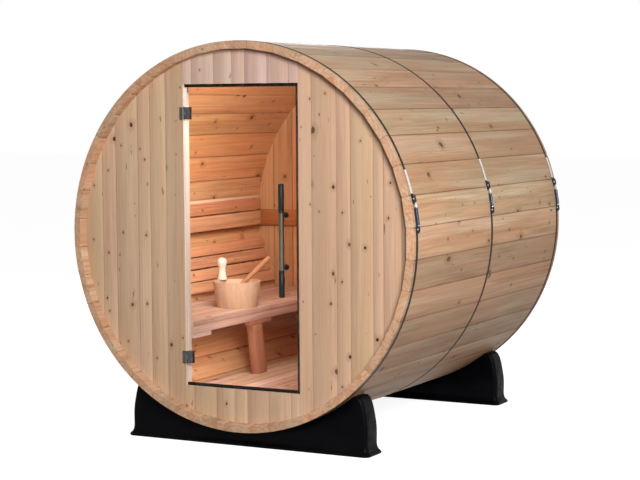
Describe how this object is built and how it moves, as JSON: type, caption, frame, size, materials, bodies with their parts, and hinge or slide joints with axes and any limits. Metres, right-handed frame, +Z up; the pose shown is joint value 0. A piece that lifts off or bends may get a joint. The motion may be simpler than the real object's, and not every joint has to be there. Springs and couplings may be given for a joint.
{
  "type": "barrel sauna",
  "caption": "Staved barrel sauna cabin with a hinged clear glass door, an inner bench with a bucket, steel bands with tensioners, and two moulded cradles.",
  "frame": {"origin": "on the ground, under the middle of the barrel", "axes": "+Z up; the front wall and its door face -Y; the barrel's axis runs along Y"},
  "size_m": [1.8608, 1.829, 1.9066],
  "materials": {
    "stave_wood": "planed softwood",
    "wall_wood": "planed knotty softwood",
    "frame_wood": "planed pale softwood",
    "inner_wood": "planed warm softwood",
    "bench_wood": "planed softwood",
    "bucket_wood": "smooth pale wood",
    "band_steel": "dark satin",
    "tensioner_steel": "satin",
    "black_plastic": "fine matt",
    "black_rubber": "matt",
    "hinge_metal": "satin",
    "handle_steel": "satin",
    "door_glass": "clear"
  },
  "bodies": {
    "cabin": {"barrel_staves_01": "stave_wood", "barrel_staves_02": "stave_wood", "barrel_staves_03": "stave_wood", "barrel_staves_04": "stave_wood", "barrel_staves_05": "stave_wood", "barrel_staves_06": "stave_wood", "barrel_staves_07": "stave_wood", "barrel_staves_08": "stave_wood", "barrel_staves_09": "stave_wood", "barrel_staves_10": "stave_wood", "front_wall_left": "wall_wood", "front_wall_right": "wall_wood", "front_wall_over_door": "wall_wood", "front_wall_under_door": "wall_wood", "door_post_left": "frame_wood", "door_post_right": "frame_wood", "door_head": "frame_wood", "door_sill": "frame_wood", "back_wall": "inner_wood", "back_wall_rail": "inner_wood", "floor": "inner_wood", "floor_joists": "inner_wood", "bench_seat_boards": "bench_wood", "bench_apron": "bench_wood", "bench_end_cleats": "bench_wood", "bench_leg_bearer": "bench_wood", "bench_leg": "bench_wood", "bench_wall_bearer": "bench_wood", "backrest_ribs": "inner_wood", "lower_backrest_slats": "inner_wood", "upper_backrest_boards": "inner_wood", "bucket": "bucket_wood", "bucket_grip": "bucket_wood", "ladle": "bucket_wood", "door_seal": "black_rubber", "steel_bands": "band_steel", "band_tensioners": "tensioner_steel", "cradle_front": "black_plastic", "cradle_rear": "black_plastic", "hinge_wall_leaves": "hinge_metal"},
    "door": {"door_glass": "door_glass", "hinge_door_clamps": "hinge_metal", "door_handle_bar": "handle_steel", "door_handle_ends": "black_plastic", "door_handle_washers": "handle_steel"}
  },
  "joints": [
    {"name": "door_hinge", "type": "hinge", "parent": "cabin", "child": "door", "pos_m": [-0.306, -0.8715, 0.9905], "axis": [0, 0, -1], "range_deg": [0, 110]}
  ]
}
